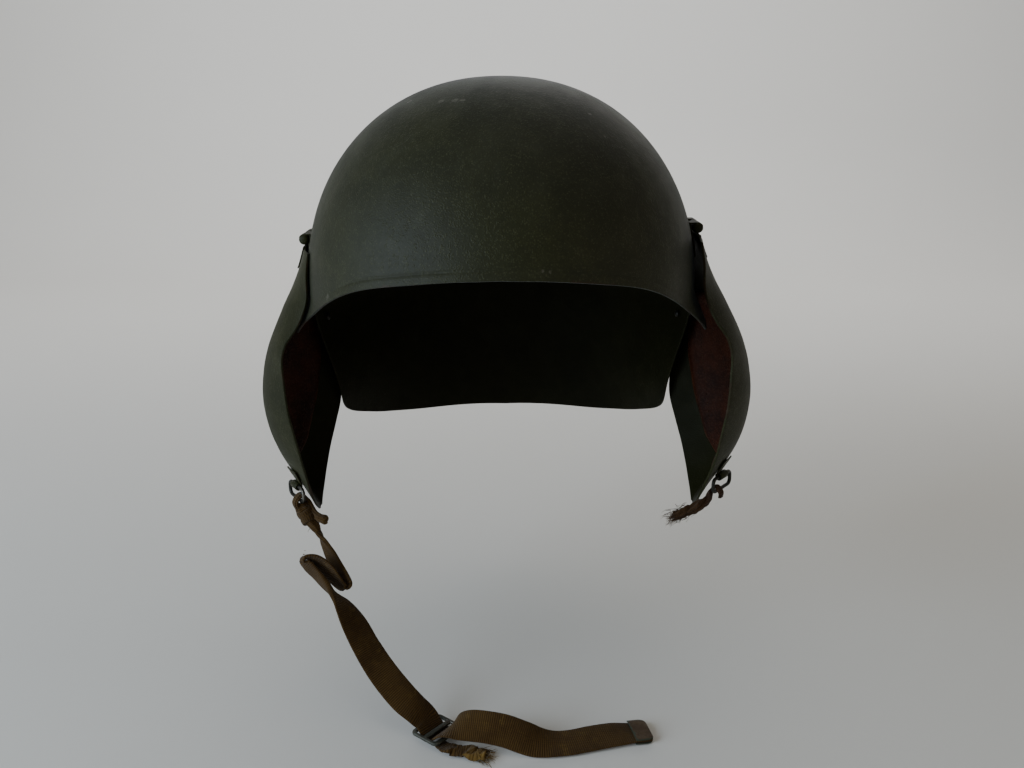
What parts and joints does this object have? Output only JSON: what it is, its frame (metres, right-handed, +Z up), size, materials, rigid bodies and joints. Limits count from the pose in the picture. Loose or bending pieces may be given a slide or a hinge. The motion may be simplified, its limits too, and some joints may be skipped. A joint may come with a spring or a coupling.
{
  "type": "steel flak helmet with ear plates",
  "caption": "Steel flak helmet with hinged, leather-lined ear plates and a tied webbing chin strap with a slide buckle.",
  "frame": {"origin": "the inside of the crown's top, on the shell's middle plane, where a head meets the shell", "axes": "+Z up, the brow looks along -Y, the wearer's left is +X"},
  "size_m": [0.3145, 0.2763, 0.3924],
  "materials": {
    "paint": "matt, fine grain",
    "worn_steel": "worn paint over steel",
    "leather": "worn, dull",
    "webbing": "ribbed, matt",
    "red_webbing": "frayed, matt",
    "buckle_metal": "dull, rubbed"
  },
  "bodies": {
    "helmet": {"shell": "paint", "temple_stud_left": "worn_steel", "temple_stud_right": "worn_steel", "hinge_shell_leaf_left": "paint", "hinge_shell_leaf_right": "paint", "hinge_pin_left": "paint", "hinge_pin_right": "paint", "ear_plate_right": "paint", "ear_pad_right": "leather", "hinge_plate_leaf_right": "paint", "bail_lug_right": "paint", "bail_right": "worn_steel", "chin_strap": "webbing", "strap_tail": "webbing", "strap_buckle": "buckle_metal", "strap_tip": "buckle_metal"},
    "left_plate": {"ear_plate_left": "paint", "ear_pad_left": "leather", "hinge_plate_leaf_left": "paint", "bail_lug_left": "paint", "bail_left": "worn_steel", "strap_remnant": "red_webbing"}
  },
  "joints": [
    {"name": "left_ear_plate_hinge", "type": "hinge", "parent": "helmet", "child": "left_plate", "pos_m": [0.1207, 0, -0.089], "axis": [0, -1, 0], "range_deg": [0, 150]}
  ]
}
